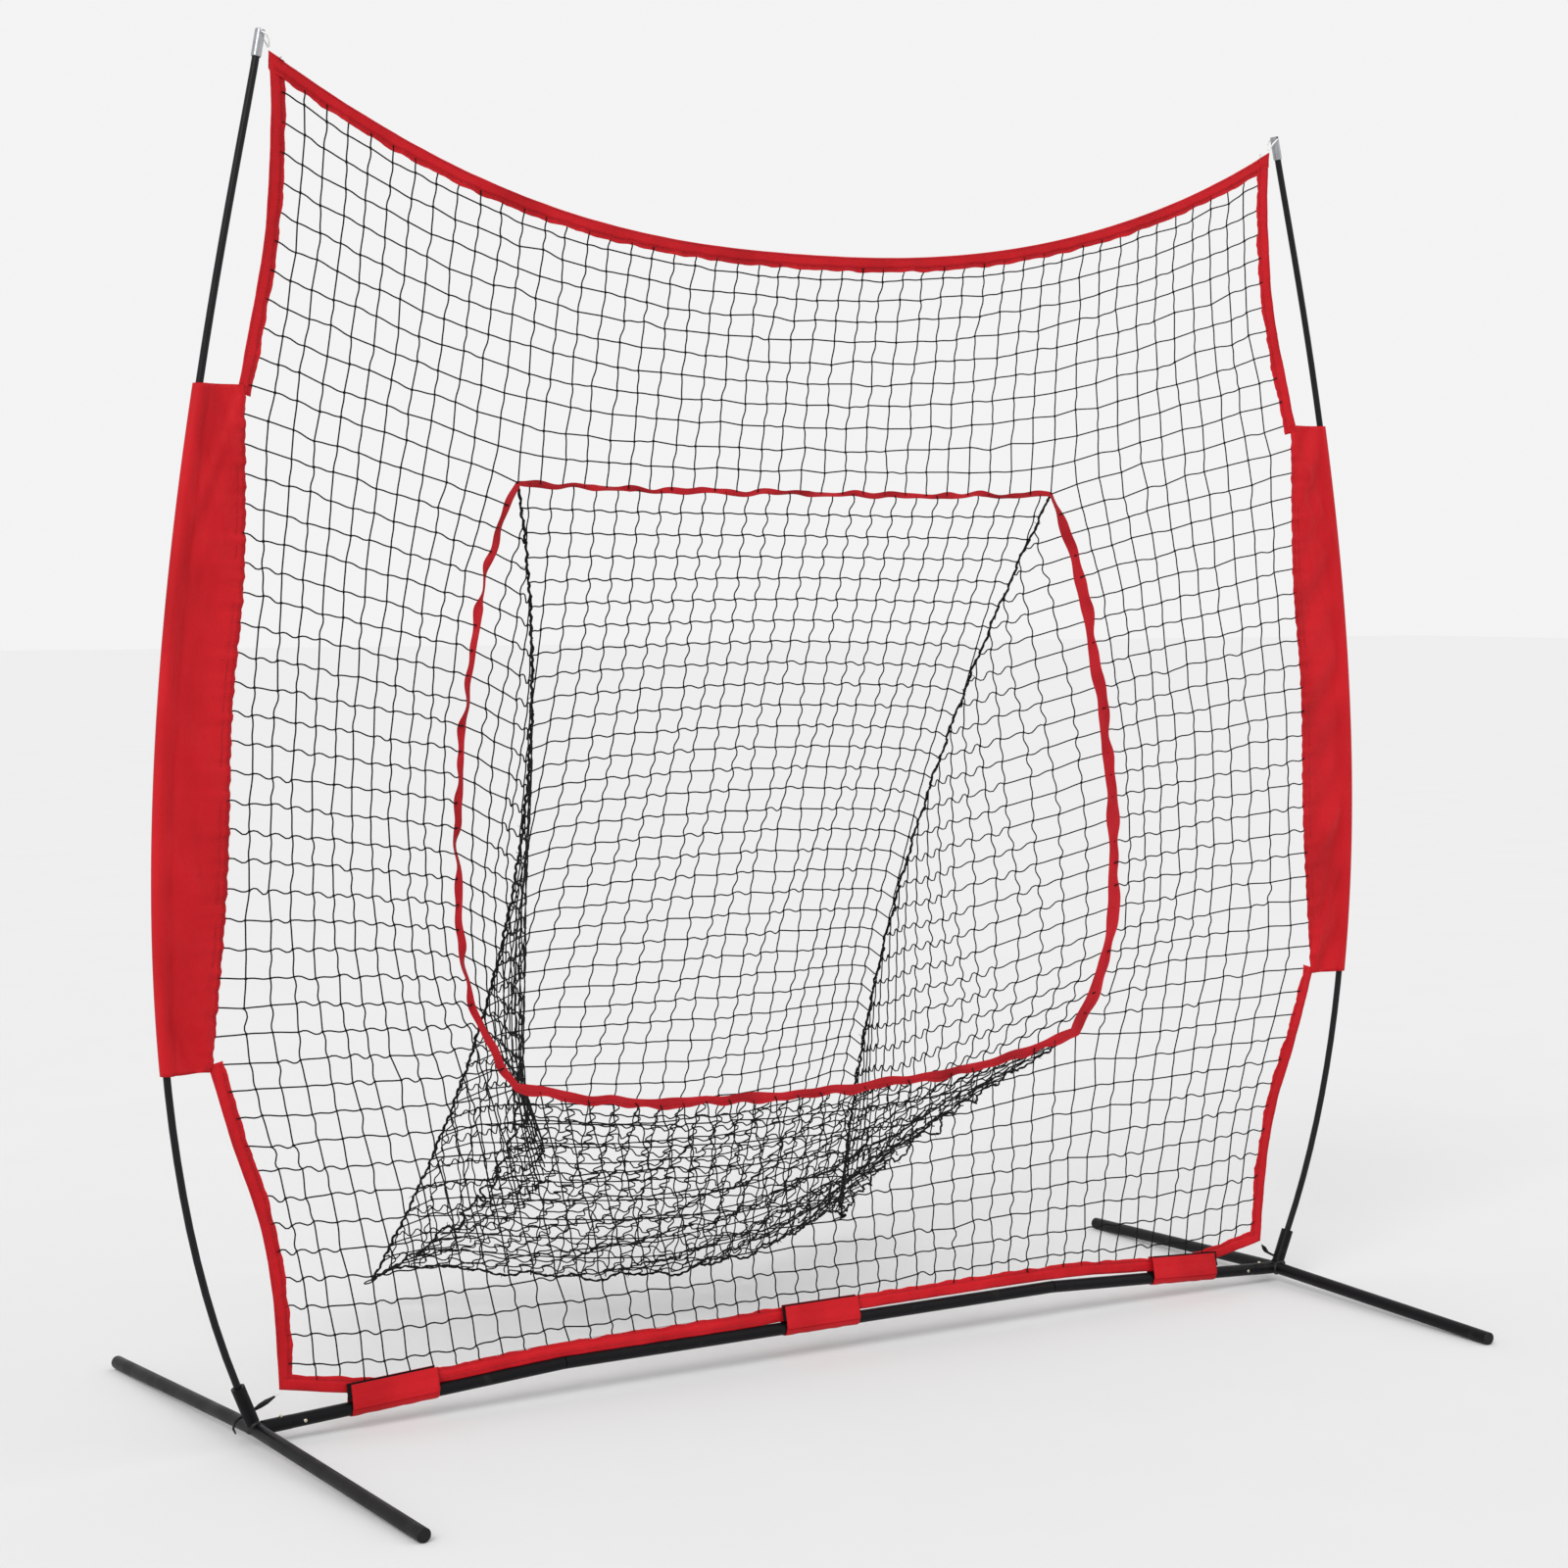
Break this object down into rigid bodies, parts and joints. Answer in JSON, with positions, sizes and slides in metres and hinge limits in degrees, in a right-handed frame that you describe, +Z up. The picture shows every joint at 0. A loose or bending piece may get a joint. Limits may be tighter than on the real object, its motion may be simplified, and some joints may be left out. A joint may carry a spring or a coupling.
{
  "type": "pitching target net",
  "caption": "Free-standing pitching target: black netting in a red nylon border, hung between bowed poles on tube feet, with a strike-zone opening into a rear catching pocket.",
  "frame": {"origin": "centre of the object's bounding box on the ground plane", "axes": "+X along the crossbar, +Y from the pitcher towards the pocket, +Z up"},
  "size_m": [2.376, 1.291, 2.1352],
  "materials": {
    "steel": "satin black powder coat, lightly scuffed",
    "plastic": "moulded matte black",
    "fibreglass": "smooth black glass-fibre rod",
    "ferrule": "drawn steel tube",
    "aluminium": "turned, satin",
    "snap_metal": "plated, worn bright",
    "spring": "spring steel",
    "elastic": "braided white elastic cord",
    "nylon": "saturated red woven nylon",
    "netting": "knotted black polyethylene twine",
    "cord": "bound black cord"
  },
  "bodies": {
    "frame": {"border_bottom": "nylon", "border_lower_left": "nylon", "border_lower_right": "nylon", "border_top": "nylon", "border_upper_left": "nylon", "border_upper_right": "nylon", "corner_hook_left": "plastic", "corner_hook_right": "plastic", "corner_loop_left": "elastic", "corner_loop_right": "elastic", "crossbar_coupler_left": "steel", "crossbar_coupler_right": "steel", "crossbar_rivet_left": "snap_metal", "crossbar_rivet_right": "snap_metal", "crossbar_section_centre": "steel", "crossbar_section_left": "steel", "crossbar_section_right": "steel", "crossbar_stub_left": "steel", "crossbar_stub_right": "steel", "foot_cap_left_back": "plastic", "foot_cap_left_front": "plastic", "foot_cap_right_back": "plastic", "foot_cap_right_front": "plastic", "foot_tube_left": "steel", "foot_tube_right": "steel", "net_panel": "netting", "opening_trim": "nylon", "pocket_back": "netting", "pocket_bottom": "netting", "pocket_gusset_left": "netting", "pocket_gusset_right": "netting", "pocket_loop_left": "cord", "pocket_loop_right": "cord", "pocket_seam_left": "cord", "pocket_seam_right": "cord", "pole_cap_left": "aluminium", "pole_cap_right": "aluminium", "pole_ferrule_left": "ferrule", "pole_ferrule_right": "ferrule", "pole_lower_left": "fibreglass", "pole_lower_right": "fibreglass", "pole_socket_left": "steel", "pole_socket_right": "steel", "pole_upper_left": "fibreglass", "pole_upper_right": "fibreglass", "sleeve_left": "nylon", "sleeve_right": "nylon", "snap_spring_left": "spring", "snap_spring_right": "spring", "strap_wrap_centre": "nylon", "strap_wrap_left": "nylon", "strap_wrap_right": "nylon", "top_loop_left": "elastic", "top_loop_right": "elastic"},
    "snap_button_left": {"snap_button_left": "snap_metal"},
    "snap_button_right": {"snap_button_right": "snap_metal"},
    "strap_flap_left": {"strap_flap_left": "nylon"},
    "strap_flap_centre": {"strap_flap_centre": "nylon"},
    "strap_flap_right": {"strap_flap_right": "nylon"}
  },
  "joints": [
    {"name": "snap_left", "type": "slide", "parent": "frame", "child": "snap_button_left", "axis": [0, 0, -1], "range_m": [0, 0.004], "stiffness_N_per_m": 400, "springref_m": -0.002, "deforming": ["snap_spring_left"]},
    {"name": "snap_right", "type": "slide", "parent": "frame", "child": "snap_button_right", "axis": [0, 0, -1], "range_m": [0, 0.004], "stiffness_N_per_m": 400, "springref_m": -0.002, "deforming": ["snap_spring_right"]},
    {"name": "strap_left", "type": "hinge", "parent": "frame", "child": "strap_flap_left", "pos_m": [-0.797, -0.0966, 0.04058], "axis": [0.9985, 0, 0.0544], "range_deg": [0, 100]},
    {"name": "strap_centre", "type": "hinge", "parent": "frame", "child": "strap_flap_centre", "pos_m": [0, -0.0966, 0.057], "axis": [1, 0, 0], "range_deg": [0, 100]},
    {"name": "strap_right", "type": "hinge", "parent": "frame", "child": "strap_flap_right", "pos_m": [0.797, -0.0966, 0.04058], "axis": [0.9985, 0, -0.0544], "range_deg": [0, 100]}
  ]
}
